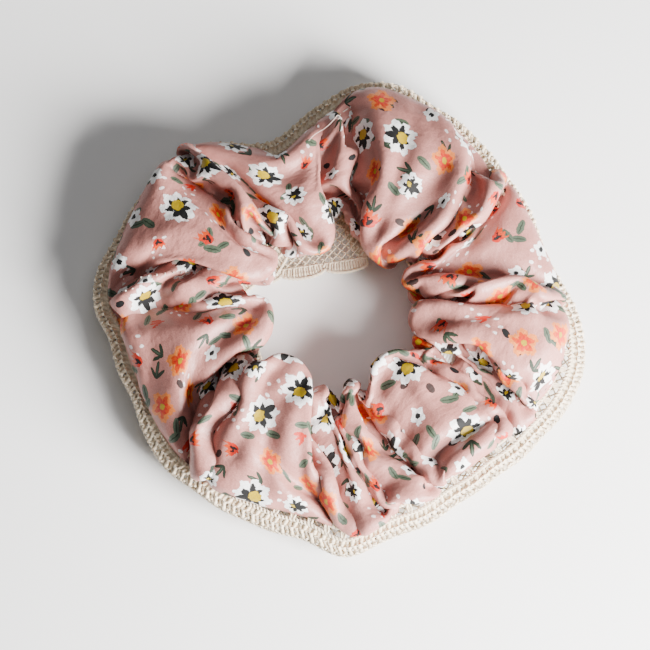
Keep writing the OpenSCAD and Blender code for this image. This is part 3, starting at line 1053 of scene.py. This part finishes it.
def leaf_pair(x, y, shapes, both):
    """The first of two leaves, and the second one too where both is 1."""
    return ellipse(x, y, *shapes[0]).high(ellipse(x, y, *shapes[1]) * both)


def within(q, limits):
    return q.more(limits[0]) * q.less(limits[1])


def paint_fillers(mat, colour, u, v, ripple):
    """Leaves, sprigs, ovals and dots, in two layers."""
    for w, h, seed, x0, y0 in FILLERS:
        x, y, q = cells(mat, u + x0, v + y0, w, h, seed, 2.0)
        x, y = x + ripple * 0.5, y - ripple * 0.5
        leaf, sprig, both = within(q[0], LEAF_CELLS), within(q[0], SPRIG_CELLS), q[2].more(0.4)
        colour = mat.paint(
            colour,
            (leaf_pair(x, y, LEAVES, both) * leaf, mat.paint(SAGE, (q[1], PALE_SAGE))),
            (leaf_pair(x, y, VEINS, both) * leaf, MOSS),
            (ellipses(x, y, SPRIG) * sprig, MOSS),
            (ellipse(x, y, *STEM) * sprig, SAGE),
            (ellipse(x, y, *OVAL) * within(q[0], OVAL_CELLS), mat.paint(UMBER, (q[1].more(0.5), INK))),
            (ellipses(x, y, DOTS) * within(q[0], DOT_CELLS), BLUSH_WHITE))
    return colour


def paint_flowers(mat, colour, u, v, ripple):
    """Daisies with a black star and a yellow eye, orange flowers, tulips, small daisies and strokes."""
    x, y, q = cells(mat, u, v, *FLOWER_CELL, FLOWER_SEED, 1.0)
    x, y = x + ripple * 1.3, y - ripple * 1.3
    rho = (x * x + y * y).sqrt()
    phi = y.angle_from(x)
    kind = q[0]

    def wave(n, phase=0.0):
        return (phi * n + phase).sin()

    def points(n, phase=0.0):
        return 1 - ((phi * (n / TAU) + phase).fract() * 2 - 1).abs()

    daisy, big = kind.less(DAISY_UP_TO), kind.less(BIG_DAISY_UP_TO)
    size = 0.70 + big * 0.36
    petals = (rho / size).less(points(8.0, 0.1).power(0.7) * 1.35 + 3.2 + wave(19.0) * 0.14)
    bx, by = x / size + 0.35, y / size - 0.25
    star = (bx * bx + by * by).sqrt().less(points(7.0).power(0.8) * 1.7 + 1.5 + wave(3.0, 1.0) * 0.4)
    ex, ey = x - 0.35, y + 0.45
    eye = (ex * ex + ey * ey * (2.4 - big * 1.35)).sqrt().less(0.62 + big * 0.88)
    orange = within(kind, ORANGE_CELLS)
    lobes = wave(2.5).abs()
    tulip = within(kind, TULIP_CELLS)
    teeth = ((x / 1.35 + 0.5).fract() * 2 - 1).abs()
    cup = x.abs().less(y * 0.28 + 1.5) * y.less(teeth * 1.3 + 1.0) * y.more(x * x * 0.5 - 1.9) * tulip
    small = within(kind, SMALL_CELLS)
    return mat.paint(
        colour,
        (petals * daisy, WHITE), (star * daisy, INK), (eye * daisy, YELLOW),
        (rho.less(lobes * 1.2 + 2.45 + wave(17.0) * 0.16) * orange, PEACH),
        (rho.less(lobes * 1.2 + 1.35 + wave(7.0, 2.0) * 0.35) * orange, ORANGE),
        (rho.less(wave(4.5, 1.0).abs() + 0.85) * orange, CORAL),
        (rho.less(0.72) * orange, YELLOW),
        (cup, ORANGE), (cup * y.less(wave(5.0) * 0.5 + 0.3), CORAL),
        (ellipses(x, y, TULIP_MARKS) * tulip, INK),
        (rho.less(points(5.0) * 0.9 + 1.45) * small, WHITE), (rho.less(0.68) * small, INK),
        (ellipses(x, y, STROKES) * kind.more(STROKES_FROM), CORAL))


# ---------------- materials
def satin_material():
    """Dusty pink satin: long grain along the warp, whose streaks are painted lighter as a sheen, a scattered
    print, and a fine and a broad crumple, with painted shade in the fine crumple's hollows.
    """
    mat = Material("printed_satin")
    u, v = mat.uv()
    at = mat.vector(u, v)
    grain = mat.noise(mat.vector(u * 0.9, v * 4.5), 1.6, 3.0, 0.7)
    # the lightest pink follows the warp's grain: real grain, painted lighter as the satin's sheen along it
    base = mat.paint((0.340, 0.130, 0.109), (mat.noise(at, 0.05), (0.400, 0.165, 0.141)),
                     ((grain - 0.5) * 1.2 + 0.25, (0.52, 0.248, 0.216)))
    ripple = mat.noise(at, 1.1, 3.0, 0.6) - 0.5
    printed = paint_flowers(mat, paint_fillers(mat, base, u, v, ripple), u, v, ripple)
    fine = mat.noise(mat.vector(u, v * 1.6), 2.6, 3.0, 0.75)
    # painted shade: the colour is darker in the fine crumple's hollows and lighter on its crests, from the
    # same noise as the bump
    shaded = mat.node("HueSaturation", {"Color": printed, "Value": 0.40 + fine * 1.2})
    ink = (1 - Val(mat, mat.node("RGBToBW", {0: printed})) * 9).high(0.0)      # dark print is duller
    broad = mat.bump(mat.noise(mat.vector(u * 0.7, v), 0.28, 4.0, 0.55), 0.00045)
    mat.surface(Base_Color=shaded, Roughness=0.38 + grain * 0.14 + ink * 0.36, Specular_IOR_Level=0.45,
                Anisotropic=0.35, Normal=mat.bump(fine * 0.6 + grain * 0.4, 0.00003, Normal=broad))
    return mat.done


def thread_material(name, light, dark, ply, twist, fuzz=0.00006):
    """Spun cotton: plies that wind round the thread, with painted shade in the grooves between them, small
    colour changes and fibre fuzz.
    """
    mat = Material(name)
    u, v = mat.uv()
    wind = ((u * (1 / twist) + v * ply).fract() * 2 - 1).abs()
    mottled = mat.noise(mat.vector(u, v * 3), 1.3, 3.0, 0.65)
    fibre = mat.noise(mat.vector(u * 3, v * 14 + u * 2), 2.0, 2.0, 0.7)
    # the dark colour goes on in random mottles and, as painted shade, in the grooves between the plies
    mat.surface(Base_Color=mat.paint(light, (mottled * 0.5 + wind.power(3.0) * 0.5, dark)),
                Roughness=0.72 + fibre * 0.2, Specular_IOR_Level=0.25,
                Sheen_Weight=0.35, Sheen_Roughness=0.5, Subsurface_Weight=0.12,
                Subsurface_Radius=(0.0010, 0.0008, 0.0006), Subsurface_Scale=1.0,
                Normal=mat.bump((1 - wind * wind) * 0.75 + fibre * 0.35, fuzz))
    return mat.done


def elastic_material():
    mat = Material("braided_elastic")
    u, v = mat.uv()
    weave = (u * 3.2 + (v * 2.6).sin() * 1.2).sin() * 0.5 + 0.5
    fuzz = mat.noise(mat.vector(u, v), 3.0, 3.0)
    # painted shade: darker in the weave's grooves, where the bump is low, and lighter on its ridges
    mat.surface(Base_Color=mat.paint((0.70, 0.68, 0.64), (weave * 0.6 + fuzz * 0.4, (0.82, 0.81, 0.77))),
                Roughness=0.55 + fuzz * 0.25, Normal=mat.bump(weave * 0.7 + fuzz * 0.3, 0.00012))
    return mat.done


def floor_material():
    mat = Material("pale_floor")
    grain = mat.noise(mat.node("TexCoord", {}, "Object"), 40.0, 4.0)
    mat.surface(Base_Color=mat.paint((0.93, 0.93, 0.93), (grain, (0.95, 0.95, 0.95))), Roughness=0.7)
    return mat.done


# ---------------- build
satin = satin_material()
cotton = thread_material("lace_cotton", (0.80, 0.69, 0.53), (0.62, 0.47, 0.31), 2.0, 1.1)
sewing = thread_material("sewing_thread", (0.80, 0.72, 0.63), (0.64, 0.55, 0.46), 3.0, 0.7, 0.00004)
# painted shade: a darker, pinker copy of the sewing thread, for the loose end that lies in the satin's shade
shaded_loose_cotton = thread_material("loose_thread_in_shade", (0.70, 0.52, 0.44), (0.56, 0.38, 0.31), 3.0, 0.7, 0.00004)

GATHERED = press_notch(gather_cover())
FINISHED = creased(calmed(GATHERED))
LACE_P, LACE_N = lace_surface()

cover = make_cover(FINISHED, satin)
heading, braid = lace_heading(cotton), lace_braid(cotton)
net, scallops = lace_net(cotton), lace_scallops(cotton)
loop = elastic_loop(elastic_material())
loop_stitches = elastic_stitching(sewing)
seam = seam_stitching(GATHERED, sewing)
closing = closing_stitching(GATHERED, sewing)
joining = lace_joining(sewing)
loose = thread_end(FINISHED, shaded_loose_cotton)

for piece in (cover, heading, braid, net, scallops, loop, loop_stitches, seam, closing, joining, loose):
    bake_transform(piece)

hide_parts("cover_left", "cover_right")
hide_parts("lace_left", "lace_right")
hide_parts("elastic_band")
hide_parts("elastic_stitches")
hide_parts("seam_stitches_left", "seam_stitches_right")
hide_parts("closing_stitches")
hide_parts("lace_join_stitches")

# ---------------- floor, light and camera
FLOOR_SPAN = 4.0
floor = plain_object("floor", square(FLOOR_SPAN, 0), [(0, 1, 2, 3)])
floor.data.materials.append(floor_material())


def soft_light(name, place, size, watts, colour):
    """A square lamp that faces the middle of the ring."""
    data = bpy.data.lights.new(name, "AREA")
    data.size, data.energy, data.color = size, watts, colour
    lamp = bpy.data.objects.new(name, data)
    lamp.location = place
    lamp.rotation_mode = "QUATERNION"
    lamp.rotation_quaternion = (-Vector(place)).to_track_quat("-Z", "Y")
    bpy.context.scene.collection.objects.link(lamp)


soft_light("window", (0.36, -0.26, 0.21), 0.26, 22.0, (1.0, 0.985, 0.965))
soft_light("fill", (0.15, 0.2, 0.9), 0.7, 1.3, (0.98, 0.985, 1.0))
world = bpy.data.worlds.new("studio")
bpy.context.scene.world = world
world.use_nodes = True
background = world.node_tree.nodes["Background"]
background.inputs["Color"].default_value = (1.0, 0.99, 0.98, 1)
background.inputs["Strength"].default_value = 0.13

ELEVATION, DISTANCE, FIELD = math.radians(78), 0.75, 0.1525     # FIELD is the width seen, in metres
SENSOR = 36
LOOK_AT = Vector((-0.0034, -0.0029, 0.0095))
camera = bpy.data.objects.new("camera", bpy.data.cameras.new("camera"))
bpy.context.scene.collection.objects.link(camera)
bpy.context.scene.camera = camera
back = Vector((0, -math.cos(ELEVATION), math.sin(ELEVATION)))
camera.location = LOOK_AT + back * DISTANCE
camera.rotation_mode = "QUATERNION"
camera.rotation_quaternion = (-back).to_track_quat("-Z", "Y")
camera.data.sensor_width = SENSOR
camera.data.lens = SENSOR * DISTANCE / FIELD
camera.data.clip_start = 0.01
